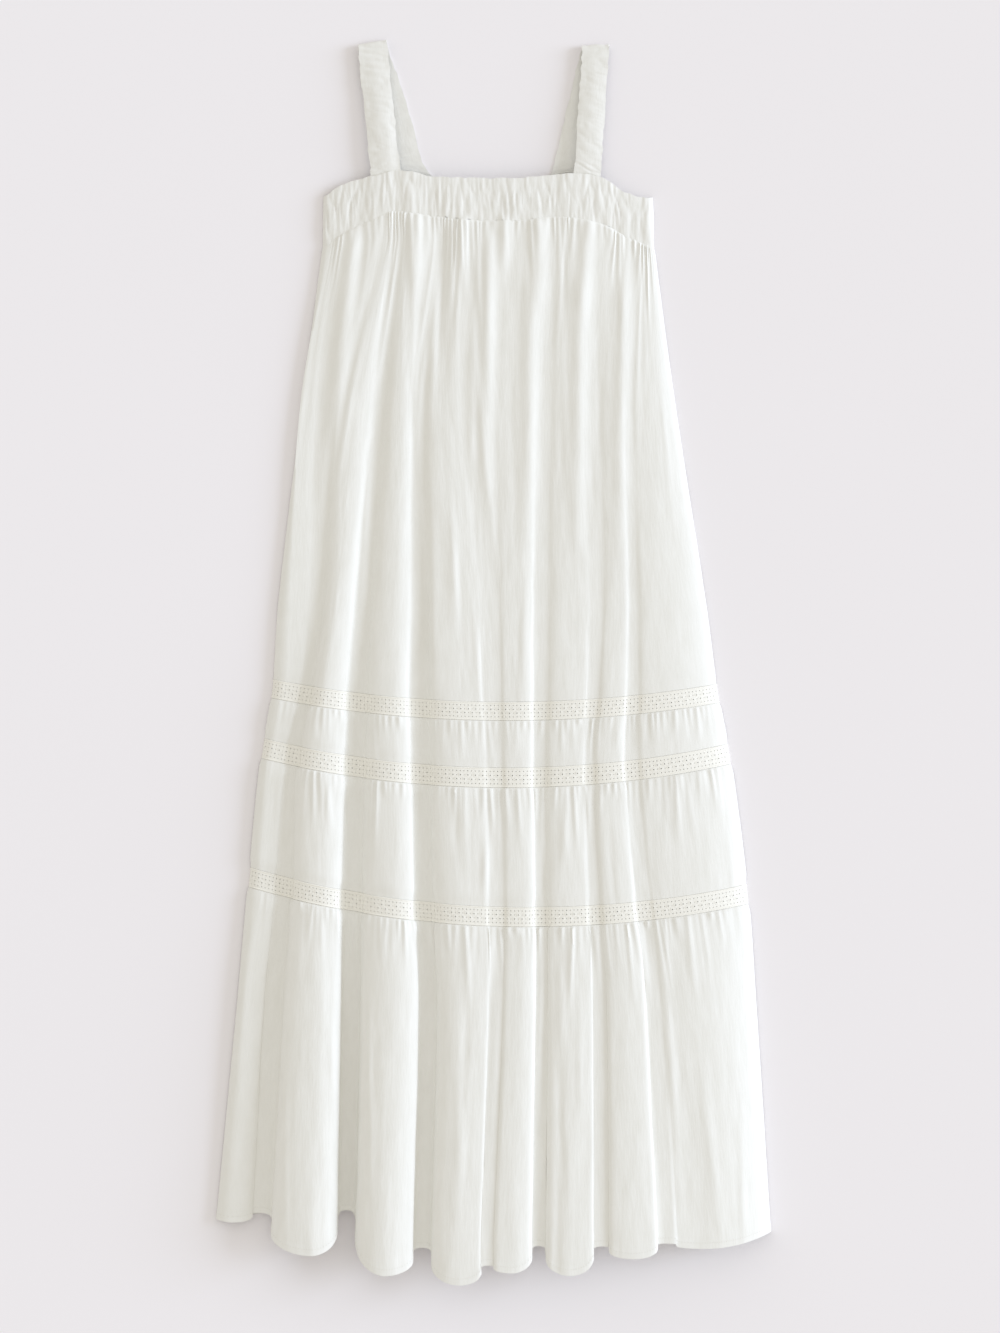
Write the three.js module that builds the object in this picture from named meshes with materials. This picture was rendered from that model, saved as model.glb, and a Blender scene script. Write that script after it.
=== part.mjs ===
// A sleeveless tiered maxi dress laid out flat, face up, in millimetres.
// X runs across the dress, Y from the hem up to the straps, and Z up from the surface that it lies on.
// Each front piece is a folded wall over a back piece that lies flat, and the two meet at the side seams.
import * as THREE from "three";

// Thickness of each kind of cloth.
const WALL = { band: 2.0, tier: 1.6, lace: 1.4, back: 2.0, strap: 2.0 };
// Gap between neighbouring pieces at a seam.
const SEAM = 0.3;
// The front's side edges stand this high, just over the back's.
const SIDE_EDGE = WALL.back + SEAM;
// Samples of the front between a crest and a trough, and between a side seam and its first crest.
const STEPS = { fold: 4, side: 3 };
const NORMAL_STEP = 0.02;

// Heights, from the hem up to the band, at which the fold lines' places across are given.
const STATIONS = [-613, -363, -251, -109, -32, 65, 279, 450];

// The front's fold lines from side to side: the side seams, and crests and troughs in turn between them.
// across: the place at each station. level: the height at the hem, the first lace, the hips and the band, as a
// share of the relief there. neck, waist and hem: where the line meets these edges.
const LINES = [
  {
    name: "side_left",
    across: [-296, -272, -262, -248, -236, -229, -203, -181],
    level: [0, 0, 0, 0],
    neck: 496,
    waist: 443,
    hem: -597,
  },
  {
    name: "crest_1",
    across: [-278, -264, -249, -237, -223, -219, -205, -174],
    level: [0.14, 0.14, 0.14, 0.2],
    neck: 500,
    waist: 447,
    hem: -600,
  },
  {
    name: "trough_1",
    across: [-252, -237, -228, -217, -199, -186, -181, -160],
    level: [0.03, 0.02, 0.04, 0.35],
    neck: 509,
    waist: 457,
    hem: -590,
  },
  {
    name: "crest_2",
    across: [-193, -186, -182, -182, -178, -166, -143, -113],
    level: [0.85, 0.72, 0.62, 0.9],
    neck: 521,
    waist: 479,
    hem: -633,
  },
  {
    name: "trough_2",
    across: [-157, -154, -154, -148, -145, -139, -121, -102],
    level: [0.08, 0.02, 0.08, 0.8],
    neck: 523,
    waist: 480,
    hem: -587,
  },
  {
    name: "crest_3",
    across: [-115, -106, -103, -105, -106, -104, -98, -90],
    level: [0.95, 0.82, 0.7, 1],
    neck: 523,
    waist: 479,
    hem: -654,
  },
  {
    name: "trough_3",
    across: [-75, -70, -77, -80, -82, -80, -80, -64],
    level: [0.38, 0.25, 0.34, 0.85],
    neck: 517,
    waist: 475,
    hem: -626,
  },
  {
    name: "crest_4",
    across: [-36, -30, -30, -34, -38, -42, -55, -46],
    level: [0.95, 0.9, 0.85, 1],
    neck: 516,
    waist: 473,
    hem: -664,
  },
  {
    name: "trough_4",
    across: [-5, 5, 5, 4, 1, -2, -8, -11],
    level: [0.88, 0.8, 0.74, 0.9],
    neck: 515,
    waist: 470,
    hem: -643,
  },
  {
    name: "crest_5",
    across: [20, 30, 32, 28, 27, 28, 29, 33],
    level: [0.97, 0.92, 0.86, 1],
    neck: 516,
    waist: 471,
    hem: -651,
  },
  {
    name: "trough_5",
    across: [48, 50, 49, 48, 49, 49, 55, 64],
    level: [0.68, 0.66, 0.66, 0.9],
    neck: 518,
    waist: 474,
    hem: -623,
  },
  {
    name: "crest_6",
    across: [82, 84, 82, 82, 84, 84, 80, 82],
    level: [0.92, 0.88, 0.86, 1],
    neck: 521,
    waist: 474,
    hem: -654,
  },
  {
    name: "trough_6",
    across: [115, 114, 109, 104, 108, 112, 108, 118],
    level: [0.8, 0.76, 0.76, 0.75],
    neck: 515,
    waist: 466,
    hem: -623,
  },
  {
    name: "crest_7",
    across: [150, 141, 130, 122, 128, 133, 129, 136],
    level: [0.95, 0.9, 0.86, 0.5],
    neck: 503,
    waist: 457,
    hem: -636,
  },
  {
    name: "trough_7",
    across: [182, 170, 159, 147, 149, 149, 145, 151],
    level: [0.76, 0.72, 0.74, 0.35],
    neck: 497,
    waist: 450,
    hem: -620,
  },
  {
    name: "crest_8",
    across: [226, 204, 190, 178, 174, 170, 161, 162],
    level: [0.7, 0.84, 0.76, 0.2],
    neck: 495,
    waist: 445,
    hem: -626,
  },
  {
    name: "side_right",
    across: [296, 280, 272, 254, 240, 227, 194, 171],
    level: [0, 0, 0, 0],
    neck: 495,
    waist: 441,
    hem: -610,
  },
];

// The stations of a line's four levels.
const LEVEL_STATIONS = [-613, -32, 279, 450];

// How the folds change down the dress. trough and crest: the lowest and highest face. fullness: 0 is a plain wave
// and 1 stands the flanks upright. crest_share: how much of the width the crests take.
const RELIEF = [
  { station: -613, trough: 5.5, crest: 43, fullness: 0.85, crest_share: 0.71 },
  { station: -363, trough: 6, crest: 36, fullness: 0.8, crest_share: 0.69 },
  { station: -251, trough: 6.5, crest: 30, fullness: 0.72, crest_share: 0.67 },
  { station: -109, trough: 7, crest: 27, fullness: 0.66, crest_share: 0.66 },
  { station: -32, trough: 7, crest: 25, fullness: 0.6, crest_share: 0.64 },
  { station: 65, trough: 6, crest: 19, fullness: 0.5, crest_share: 0.62 },
  { station: 279, trough: 5, crest: 15, fullness: 0.35, crest_share: 0.57 },
  { station: 450, trough: 4.6, crest: 11.5, fullness: 0.2, crest_share: 0.5 },
];

// Gathers that leave the band between the main folds and fade out down the first tier.
// top and foot: the heights where they begin and end, with the places across there. rise: height over the fold.
const GATHERS = [
  { name: "left_hip", top: 480, top_x: -145, foot: 110, foot_x: -190, rise: 4, width: 9 },
  { name: "left_inner", top: 480, top_x: -83, foot: 365, foot_x: -82, rise: 2.5, width: 7 },
  { name: "groove", top: 480, top_x: -54, foot: 240, foot_x: -57, rise: -3, width: 7 },
  { name: "middle_left", top: 480, top_x: -31, foot: 390, foot_x: -34, rise: 2.5, width: 6 },
  { name: "middle", top: 480, top_x: -4, foot: 140, foot_x: -9, rise: 3.5, width: 8 },
  { name: "middle_right", top: 480, top_x: 13, foot: 390, foot_x: 9, rise: 2.5, width: 6 },
  { name: "right_inner", top: 480, top_x: 48, foot: 350, foot_x: 50, rise: 2.5, width: 7 },
  { name: "right_hip", top: 480, top_x: 102, foot: 340, foot_x: 94, rise: 2.5, width: 7 },
];
// Shares of a gather's length over which it rises, and after which it fades.
const GATHER = { rise: 1 / 8, hold: 0.375 };

// Upper edges of the lace insertions: heights at the left side, the middle and the right side, and the depth.
const LACES = {
  lace1: { left: -20, middle: -44, right: -25, depth: 20 },
  lace2: { left: -83, middle: -114, right: -89, depth: 21.5 },
  lace3: { left: -221, middle: -262, right: -239, depth: 21 },
};

// Rounds that find where a column crosses a lace's edge.
const LACE_ROUNDS = 4;

// The back's hem, which the front's hides from above.
const BACK_HEM = { across: [-296, -154, 0, 150, 296], height: [-596, -585, -612, -614, -609] };

// The pieces from the top down, with the rows of faces that each has.
const PIECES = [
  { name: "band", top: "neck", foot: "waist", rows: 2, wall: WALL.band },
  { name: "tier1", top: "waist", foot: "lace1_top", rows: 7, wall: WALL.tier },
  { name: "lace1", top: "lace1_top", foot: "lace1_foot", rows: 1, wall: WALL.lace },
  { name: "tier2", top: "lace1_foot", foot: "lace2_top", rows: 2, wall: WALL.tier },
  { name: "lace2", top: "lace2_top", foot: "lace2_foot", rows: 1, wall: WALL.lace },
  { name: "tier3", top: "lace2_foot", foot: "lace3_top", rows: 3, wall: WALL.tier },
  { name: "lace3", top: "lace3_top", foot: "lace3_foot", rows: 1, wall: WALL.lace },
  { name: "tier4", top: "lace3_foot", foot: "hem", rows: 5, wall: WALL.tier },
];

// How far the band's and the straps' puckers stand out.
const PUCKER = { band: 1.4, back: 1.0, strap: 0.9 };

// Creases of the back, which rise from the surface under the front's crests. hem and hip: their places there, as
// shares of the half width.
const CREASES = [
  { hem: -0.65, hip: -0.67, rise: 3.5 },
  { hem: -0.385, hip: -0.46, rise: 4.5 },
  { hem: -0.11, hip: -0.23, rise: 4 },
  { hem: 0.07, hip: 0.2, rise: 3.5 },
  { hem: 0.31, hip: 0.46, rise: 4.5 },
  { hem: 0.54, hip: 0.66, rise: 2.8 },
];
const CREASE = { foot: 0.04, hip: 279, hem: -613, fade: 60 };
// Columns of the back's flat cloth: shares of the half width beside the creases, and of the way between two.
const BACK_FLATS = { left: [-1, -0.86], between: [0.37, 0.63], right: [0.82, 0.91, 1] };

// The straps run up from the band's front, fold over at the top and run down to the band's back, further in.
// front and back: the middle of each layer at the strap's stations. lean: how much higher the inner edge folds.
const STRAP_STATIONS = [518, 545, 578, 610, 643, 660];
const STRAPS = [
  {
    name: "strap_left",
    front: [-114, -116, -120, -124, -127, -129],
    back: [-78, -92, -102, -113, -125, -129],
    width: 32,
    top: 661,
    lean: 2.7,
  },
  {
    name: "strap_right",
    front: [100, 102, 104, 107, 109, 110],
    back: [74, 80, 89, 98, 106, 110],
    width: 29.5,
    top: 658,
    lean: 0.5,
  },
];
// sewn: how soon a strap's end leaves the line of the neck.
const STRAP = { fold_radius: 3.6, puckers: 32, crown: 1.0, end_gap: 0.7, sewn: 4 };

const CLOTH = new THREE.MeshStandardMaterial({ color: 0xecebe4, roughness: 0.9, metalness: 0 });
const LACE = new THREE.MeshStandardMaterial({ color: 0xf3f1e9, roughness: 0.85, metalness: 0 });

const mix = (a, b, t) => a + (b - a) * t;
const clamp = (value, low, high) => Math.min(Math.max(value, low), high);
const ease = (t) => (1 - Math.cos(Math.PI * clamp(t, 0, 1))) / 2;

// A smooth curve through values at rising places, held level past both ends.
function curve(places, values) {
  const last = places.length - 1;
  const slopes = values.map((value, i) => {
    const [a, b] = [Math.max(i - 1, 0), Math.min(i + 1, last)];
    return (values[b] - values[a]) / (places[b] - places[a]);
  });
  return (at) => {
    if (at <= places[0]) return values[0];
    if (at >= places[last]) return values[last];
    let i = 0;
    while (at > places[i + 1]) i += 1;
    const span = places[i + 1] - places[i];
    const t = (at - places[i]) / span;
    const t2 = t * t;
    const t3 = t2 * t;
    return (
      (2 * t3 - 3 * t2 + 1) * values[i] +
      (t3 - 2 * t2 + t) * span * slopes[i] +
      (3 * t2 - 2 * t3) * values[i + 1] +
      (t3 - t2) * span * slopes[i + 1]
    );
  };
}

const reliefStations = RELIEF.map((row) => row.station);
const relief = (column) =>
  curve(
    reliefStations,
    RELIEF.map((row) => row[column]),
  );
const troughHeight = relief("trough");
const crestHeight = relief("crest");
const fullness = relief("fullness");
const crestShare = relief("crest_share");
const lineAcross = LINES.map((line) => curve(STATIONS, line.across));
const lineLevel = LINES.map((line) => curve(LEVEL_STATIONS, line.level));
const [leftSide, rightSide] = [lineAcross[0], lineAcross[LINES.length - 1]];

// Height of a fold line's face at height y down the dress.
function lineFace(i, y) {
  if (i === 0 || i === LINES.length - 1) return SIDE_EDGE;
  return mix(troughHeight(y), crestHeight(y), lineLevel[i](y));
}

// Place from a trough (0) to the next crest (1), for an even step t: full folds crowd it towards the flank.
function flank(t, y) {
  const bias = 0.5 - crestShare(y);
  return t + (fullness(y) * Math.sin(2 * Math.PI * t)) / (2 * Math.PI) + bias * Math.sin(Math.PI * t) ** 2;
}

// How much the gathers below the band lift the face at (x, y).
function gatherLift(x, y) {
  let lift = 0;
  for (const fold of GATHERS) {
    const down = (fold.top - y) / (fold.top - fold.foot);
    if (down > 0 && down < 1) {
      const middle = mix(fold.top_x, fold.foot_x, down);
      const strength = ease(down / GATHER.rise) * (1 - ease((down - GATHER.hold) / (1 - GATHER.hold)));
      lift += fold.rise * strength * Math.exp(-(((x - middle) / fold.width) ** 2));
    }
  }
  return lift;
}

// A point of the front's face. u counts the fold lines from the left side seam, and y is the height.
function frontPoint(u, y) {
  const last = LINES.length - 1;
  const i = Math.min(Math.floor(u), last - 1);
  const t = u - i;
  const [x0, x1] = [lineAcross[i](y), lineAcross[i + 1](y)];
  const [z0, z1] = [lineFace(i, y), lineFace(i + 1, y)];
  if (i === 0) {
    const turn = (t * Math.PI) / 2;
    return new THREE.Vector3(mix(x0, x1, 1 - Math.cos(turn)), y, mix(z0, z1, Math.sin(turn)));
  }
  if (i === last - 1) {
    const turn = ((1 - t) * Math.PI) / 2;
    return new THREE.Vector3(mix(x1, x0, 1 - Math.cos(turn)), y, mix(z1, z0, Math.sin(turn)));
  }
  const rising = i % 2 === 0;
  const share = rising ? flank(t, y) : 1 - flank(1 - t, y);
  const x = mix(x0, x1, share);
  return new THREE.Vector3(x, y, mix(z0, z1, ease(t)) + gatherLift(x, y));
}

// Edges that go by the place across: the neckline and the seam under the band.
const edgeOf = (column) =>
  curve(
    LINES.map((line) => line.across.at(-1)),
    LINES.map((line) => line[column]),
  );
const necklineAt = edgeOf("neck");
const waistAt = edgeOf("waist");
const backHemAt = curve(BACK_HEM.across, BACK_HEM.height);

// Height of a seam at the place x(y) that a column of points has there.
function seamHeight(seam, x) {
  if (seam === "neck") return necklineAt(x(necklineAt(0)));
  if (seam === "waist") return waistAt(x(waistAt(0)));
  if (seam === "back_hem") return backHemAt(x(backHemAt(0)));
  const [name, side] = seam.split("_");
  const lace = LACES[name];
  let height = lace.middle;
  for (let round = 0; round < LACE_ROUNDS; round += 1) {
    const place = x(height);
    const share = place < 0 ? place / -leftSide(height) : place / rightSide(height);
    const lift = (lace.left + lace.right) / 2 - lace.middle;
    height = lace.middle + ((lace.right - lace.left) / 2) * share + lift * share * share;
    if (side === "foot") height -= lace.depth;
  }
  return height;
}

// Height of the front's hem, which each fold line carries to its own length.
function frontHem(u) {
  const i = Math.min(Math.floor(u), LINES.length - 2);
  return mix(LINES[i].hem, LINES[i + 1].hem, ease(u - i));
}

const frontSeam = (seam, u) => (seam === "hem" ? frontHem(u) : seamHeight(seam, (y) => frontPoint(u, y).x));

// A point of a front piece's face, down its length by the share t.
function facePoint(piece, u, t) {
  const top = frontSeam(piece.top, u) - (piece.top === "neck" ? 0 : SEAM / 2);
  const foot = frontSeam(piece.foot, u) + (piece.foot === "hem" ? 0 : SEAM / 2);
  return frontPoint(u, mix(top, foot, t));
}

// Which way the front's face looks, from its slopes over a small step. At the side seams it looks straight out.
function faceNormal(piece, u, t) {
  const last = LINES.length - 1;
  if (u === 0 || u === last) return new THREE.Vector3(u === 0 ? -1 : 1, 0, 0);
  const step = NORMAL_STEP;
  const across = facePoint(piece, u + step, t).sub(facePoint(piece, u - step, t));
  const down = facePoint(piece, u, t + step).sub(facePoint(piece, u, t - step));
  return down.cross(across).normalize();
}

// One closed wall from two like grids of points: the face that shows from above, and the face under it.
function wallGeometry(face, under) {
  const rows = face.length;
  const columns = face[0].length;
  const at = (side, row, column) => (side * rows + row) * columns + column;
  const index = [];
  const quad = (a, b, c, d) => index.push(a, b, c, a, c, d);
  for (let r = 0; r + 1 < rows; r += 1) {
    for (let c = 0; c + 1 < columns; c += 1) {
      quad(at(0, r, c), at(0, r + 1, c), at(0, r + 1, c + 1), at(0, r, c + 1));
      quad(at(1, r, c), at(1, r, c + 1), at(1, r + 1, c + 1), at(1, r + 1, c));
    }
  }
  const [end, side] = [rows - 1, columns - 1];
  for (let c = 0; c < side; c += 1) {
    quad(at(0, 0, c), at(0, 0, c + 1), at(1, 0, c + 1), at(1, 0, c));
    quad(at(0, end, c), at(1, end, c), at(1, end, c + 1), at(0, end, c + 1));
  }
  for (let r = 0; r < end; r += 1) {
    quad(at(0, r, 0), at(1, r, 0), at(1, r + 1, 0), at(0, r + 1, 0));
    quad(at(0, r, side), at(0, r + 1, side), at(1, r + 1, side), at(1, r, side));
  }
  const points = [...face.flat(), ...under.flat()];
  return new THREE.BufferGeometry().setFromPoints(points).setIndex(index);
}

// Places of the front's columns: each fold line, and steps between them.
function frontColumns() {
  const last = LINES.length - 1;
  const columns = [0];
  for (let i = 0; i < last; i += 1) {
    const steps = i === 0 || i === last - 1 ? STEPS.side : STEPS.fold;
    for (let k = 1; k <= steps; k += 1) columns.push(i + k / steps);
  }
  return columns;
}

// A row of points with one more between each two, moved along the normals by the pucker's height.
function puckered(points, normals, height) {
  const row = [points[0]];
  for (let i = 1; i < points.length; i += 1) {
    const normal = normals[i - 1].clone().add(normals[i]).normalize();
    const between = points[i - 1].clone().lerp(points[i], 0.5);
    row.push(between.addScaledVector(normal, height), points[i]);
  }
  return row;
}

// A front piece as a mesh. The band has a pucker between each two columns.
function frontMesh(piece) {
  const columns = frontColumns();
  const [face, under] = [[], []];
  for (let row = 0; row <= piece.rows; row += 1) {
    const t = row / piece.rows;
    const normals = columns.map((u) => faceNormal(piece, u, t));
    const outer = columns.map((u) => facePoint(piece, u, t));
    const inner = outer.map((point, i) => point.clone().addScaledVector(normals[i], -piece.wall));
    if (piece.name === "band") {
      face.push(puckered(outer, normals, PUCKER.band));
      under.push(puckered(inner, normals, 0));
    } else {
      face.push(outer);
      under.push(inner);
    }
  }
  const material = piece.name.startsWith("lace") ? LACE : CLOTH;
  const mesh = new THREE.Mesh(wallGeometry(face, under), material);
  mesh.name = `${piece.name}_front`;
  return mesh;
}

// The back's columns at height y: each crease, its two feet, and the flat cloth between. share counts from the
// middle to a side seam.
function backColumns(y) {
  const down = clamp((CREASE.hip - y) / (CREASE.hip - CREASE.hem), 0, 1);
  const middles = CREASES.map((crease) => mix(crease.hip, crease.hem, down));
  const columns = BACK_FLATS.left.map((share) => ({ share, rise: 0 }));
  middles.forEach((share, i) => {
    const before = middles[Math.max(i - 1, 0)];
    const between = i > 0 ? BACK_FLATS.between.map((part) => mix(before, share, part)) : [];
    columns.push(...between.map((flat) => ({ share: flat, rise: 0 })));
    columns.push({ share: share - CREASE.foot, rise: 0 });
    columns.push({ share, rise: CREASES[i].rise });
    columns.push({ share: share + CREASE.foot, rise: 0 });
  });
  return [...columns, ...BACK_FLATS.right.map((share) => ({ share, rise: 0 }))];
}

// A back piece as a mesh: flat underneath, but for its creases, and for the puckers of the band.
function backMesh(piece) {
  const tail = piece.foot === "hem" ? "back_hem" : piece.foot;
  const creased = piece.name !== "band";
  const [over, under] = [[], []];
  for (let row = 0; row <= piece.rows; row += 1) {
    const underside = backColumns(0).map((_, i) => {
      const across = (y) => {
        const { share } = backColumns(y)[i];
        return share < 0 ? -share * leftSide(y) : share * rightSide(y);
      };
      const head = seamHeight(piece.top, across) - (piece.top === "neck" ? 0 : SEAM / 2);
      const end = seamHeight(tail, across) + (tail === "back_hem" ? 0 : SEAM / 2);
      const y = mix(head, end, row / piece.rows);
      const x = across(y);
      const fade = creased ? ease((waistAt(x) - y) / CREASE.fade) : 0;
      return new THREE.Vector3(x, y, backColumns(y)[i].rise * fade);
    });
    const upper = underside.map((point) => point.clone().setZ(point.z + WALL.back));
    const up = underside.map(() => new THREE.Vector3(0, 0, 1));
    over.push(creased ? upper : puckered(upper, up, 0));
    under.push(creased ? underside : puckered(underside, up, PUCKER.back));
  }
  const material = piece.name.startsWith("lace") ? LACE : CLOTH;
  const mesh = new THREE.Mesh(wallGeometry(over, under), material);
  mesh.name = `${piece.name}_back`;
  return mesh;
}

// The height of the band's face where a strap's front layer leaves it.
const bandFaceAt = curve(
  LINES.map((line) => line.across.at(-1)),
  LINES.map((line, i) => lineFace(i, STATIONS.at(-1))),
);

// A strap as a mesh: one wall that runs up, round the fold and down again, ruched by puckers right across it.
function strapMesh(strap) {
  const [frontAt, backAt] = [curve(STRAP_STATIONS, strap.front), curve(STRAP_STATIONS, strap.back)];
  const radius = STRAP.fold_radius;
  const turnAt = strap.top - radius;
  const start = necklineAt(strap.front[0]) + STRAP.end_gap;
  const finish = necklineAt(strap.back[0]) + STRAP.end_gap;
  const [rise, fold, fall] = [turnAt - start, Math.PI * radius, turnAt - finish];
  const rows = 2 * STRAP.puckers;
  const [face, under] = [[], []];
  for (let row = 0; row <= rows; row += 1) {
    const along = ((rise + fold + fall) * row) / rows;
    const up = clamp(along / rise, 0, 1);
    const angle = Math.PI * clamp((along - rise) / fold, 0, 1);
    const down = clamp((along - rise - fold) / fall, 0, 1);
    const level = up < 1 ? mix(start, turnAt, up) : mix(turnAt, finish, down);
    const middle = down > 0 ? backAt(level) : frontAt(level);
    const sewn = (up < 1 ? 1 - up : down) ** STRAP.sewn;
    const pucker = row % 2 === 0 ? 0 : PUCKER.strap * (down > 0 ? -1 : Math.cos(angle / 2));
    const points = (reach, crown) =>
      [1, 0, -1].map((side) => {
        const x = middle + (side * strap.width) / 2;
        const y = mix(level + side * strap.lean, necklineAt(x) + STRAP.end_gap, sewn);
        const lift = (bandFaceAt(x) - 2 * radius) * (1 - ease(up)) + (side === 0 ? crown : 0);
        return new THREE.Vector3(x, y + Math.sin(angle) * reach, radius + Math.cos(angle) * reach + lift);
      });
    const crown = STRAP.crown * Math.sin(Math.PI * up);
    face.push(points(radius + pucker, crown));
    under.push(points(radius - WALL.strap, crown));
  }
  const mesh = new THREE.Mesh(wallGeometry(face, under), CLOTH);
  mesh.name = strap.name;
  return mesh;
}

const dress = new THREE.Group();
for (const piece of PIECES) dress.add(frontMesh(piece), backMesh(piece));
for (const strap of STRAPS) dress.add(strapMesh(strap));

export default dress;
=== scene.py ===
"""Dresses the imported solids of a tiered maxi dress, laid out flat, in crinkled cotton and insertion lace.

The tables are in millimetres, in the frame of the solids: X runs across the dress, Y from the hem up to
the straps, and Z up from the floor. The meshes are in metres. A cloth piece is first a grid of points on
the face of its solid, then gets its gathers, creases and crinkles along the face's normals, and last its
thickness.
"""

import math
from collections import namedtuple

import bpy
import numpy as np
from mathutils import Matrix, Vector


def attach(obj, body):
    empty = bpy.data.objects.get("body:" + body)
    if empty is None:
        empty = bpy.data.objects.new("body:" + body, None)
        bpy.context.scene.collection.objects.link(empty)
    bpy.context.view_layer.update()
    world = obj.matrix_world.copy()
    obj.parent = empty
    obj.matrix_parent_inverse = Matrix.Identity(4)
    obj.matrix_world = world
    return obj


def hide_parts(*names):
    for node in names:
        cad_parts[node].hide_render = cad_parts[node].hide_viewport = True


bl_info = {
    "name": "Tiered maxi dress",
    "version": (1, 0, 0),
    "blender": (4, 5, 0),
    "location": "View3D > Sidebar > Dress",
    "description": "Makes a tiered cotton maxi dress, laid out flat, on its fixed frame",
    "category": "Object",
}

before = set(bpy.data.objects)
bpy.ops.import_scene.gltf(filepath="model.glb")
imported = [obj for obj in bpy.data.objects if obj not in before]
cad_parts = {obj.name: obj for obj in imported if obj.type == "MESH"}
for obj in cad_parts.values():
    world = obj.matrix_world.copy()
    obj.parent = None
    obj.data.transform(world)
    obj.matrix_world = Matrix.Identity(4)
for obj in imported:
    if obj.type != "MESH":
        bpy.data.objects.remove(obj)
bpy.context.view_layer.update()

MM = 0.001

# Heights, from the hem up to the band, at which the fold lines' places across are given.
STATIONS = (-613, -363, -251, -109, -32, 65, 279, 450)

# The front's fold lines from side to side: the side seams, and crests and troughs in turn between them.
# across: the place at each station. level: the height at the hem, the first lace, the hips and the band,
# as a share of the relief there. neck, waist and hem: where the line meets these edges.
FoldLine = namedtuple("FoldLine", "name across level neck waist hem")
LINES = (
    FoldLine("side_left", (-296, -272, -262, -248, -236, -229, -203, -181),
             (0, 0, 0, 0), 496, 443, -597),
    FoldLine("crest_1", (-278, -264, -249, -237, -223, -219, -205, -174),
             (0.14, 0.14, 0.14, 0.2), 500, 447, -600),
    FoldLine("trough_1", (-252, -237, -228, -217, -199, -186, -181, -160),
             (0.03, 0.02, 0.04, 0.35), 509, 457, -590),
    FoldLine("crest_2", (-193, -186, -182, -182, -178, -166, -143, -113),
             (0.85, 0.72, 0.62, 0.9), 521, 479, -633),
    FoldLine("trough_2", (-157, -154, -154, -148, -145, -139, -121, -102),
             (0.08, 0.02, 0.08, 0.8), 523, 480, -587),
    FoldLine("crest_3", (-115, -106, -103, -105, -106, -104, -98, -90),
             (0.95, 0.82, 0.7, 1), 523, 479, -654),
    FoldLine("trough_3", (-75, -70, -77, -80, -82, -80, -80, -64),
             (0.38, 0.25, 0.34, 0.85), 517, 475, -626),
    FoldLine("crest_4", (-36, -30, -30, -34, -38, -42, -55, -46),
             (0.95, 0.9, 0.85, 1), 516, 473, -664),
    FoldLine("trough_4", (-5, 5, 5, 4, 1, -2, -8, -11),
             (0.88, 0.8, 0.74, 0.9), 515, 470, -643),
    FoldLine("crest_5", (20, 30, 32, 28, 27, 28, 29, 33),
             (0.97, 0.92, 0.86, 1), 516, 471, -651),
    FoldLine("trough_5", (48, 50, 49, 48, 49, 49, 55, 64),
             (0.68, 0.66, 0.66, 0.9), 518, 474, -623),
    FoldLine("crest_6", (82, 84, 82, 82, 84, 84, 80, 82),
             (0.92, 0.88, 0.86, 1), 521, 474, -654),
    FoldLine("trough_6", (115, 114, 109, 104, 108, 112, 108, 118),
             (0.8, 0.76, 0.76, 0.75), 515, 466, -623),
    FoldLine("crest_7", (150, 141, 130, 122, 128, 133, 129, 136),
             (0.95, 0.9, 0.86, 0.5), 503, 457, -636),
    FoldLine("trough_7", (182, 170, 159, 147, 149, 149, 145, 151),
             (0.76, 0.72, 0.74, 0.35), 497, 450, -620),
    FoldLine("crest_8", (226, 204, 190, 178, 174, 170, 161, 162),
             (0.7, 0.84, 0.76, 0.2), 495, 445, -626),
    FoldLine("side_right", (296, 280, 272, 254, 240, 227, 194, 171),
             (0, 0, 0, 0), 495, 441, -610),
)
LAST = len(LINES) - 1

# The stations of a line's four levels.
LEVEL_STATIONS = (-613, -32, 279, 450)

# How the folds change down the dress. trough and crest: the lowest and highest face. fullness: 0 is a
# plain wave and 1 stands the flanks upright. crest_share: how much of the width the crests take.
Relief = namedtuple("Relief", "station trough crest fullness crest_share")
RELIEF = (
    Relief(-613, 5.5, 43, 0.85, 0.71),
    Relief(-363, 6, 36, 0.8, 0.69),
    Relief(-251, 6.5, 30, 0.72, 0.67),
    Relief(-109, 7, 27, 0.66, 0.66),
    Relief(-32, 7, 25, 0.6, 0.64),
    Relief(65, 6, 19, 0.5, 0.62),
    Relief(279, 5, 15, 0.35, 0.57),
    Relief(450, 4.6, 11.5, 0.2, 0.5),
)

# Folds that lie over the main ones: the heights where they begin and end, with the places across there.
# rise: height over the fold, or depth where it is below zero.
Fold = namedtuple("Fold", "name top top_x foot foot_x rise width")
FOLDS = (
    Fold("left_hip", 480, -145, 110, -190, 4, 9),
    Fold("left_inner", 480, -83, 365, -82, 2.5, 7),
    Fold("groove", 480, -54, 240, -57, -3, 7),
    Fold("middle_left", 480, -31, 390, -34, 2.5, 6),
    Fold("middle", 480, -4, 140, -9, 3.5, 8),
    Fold("middle_right", 480, 13, 390, 9, 2.5, 6),
    Fold("right_inner", 480, 48, 350, 50, 2.5, 7),
    Fold("right_hip", 480, 102, 340, 94, 2.5, 7),
)

# These folds reach their full rise an eighth of the way down, and fade out from three eighths of it on.
FOLD_ONSET = 8
FOLD_FADE = 1.6
FOLD_FADE_START = 0.6

# Soft pleats of the first tier on the right, which only the cloth has.
PLEATS = (
    Fold("right_front_pleat", 430, 42, 40, 36, 2.6, 9),
    Fold("right_hip_pleat", 430, 94, 40, 88, 2.6, 9),
    Fold("right_side_pleat", 430, 140, 40, 134, 2.4, 8),
)

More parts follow.
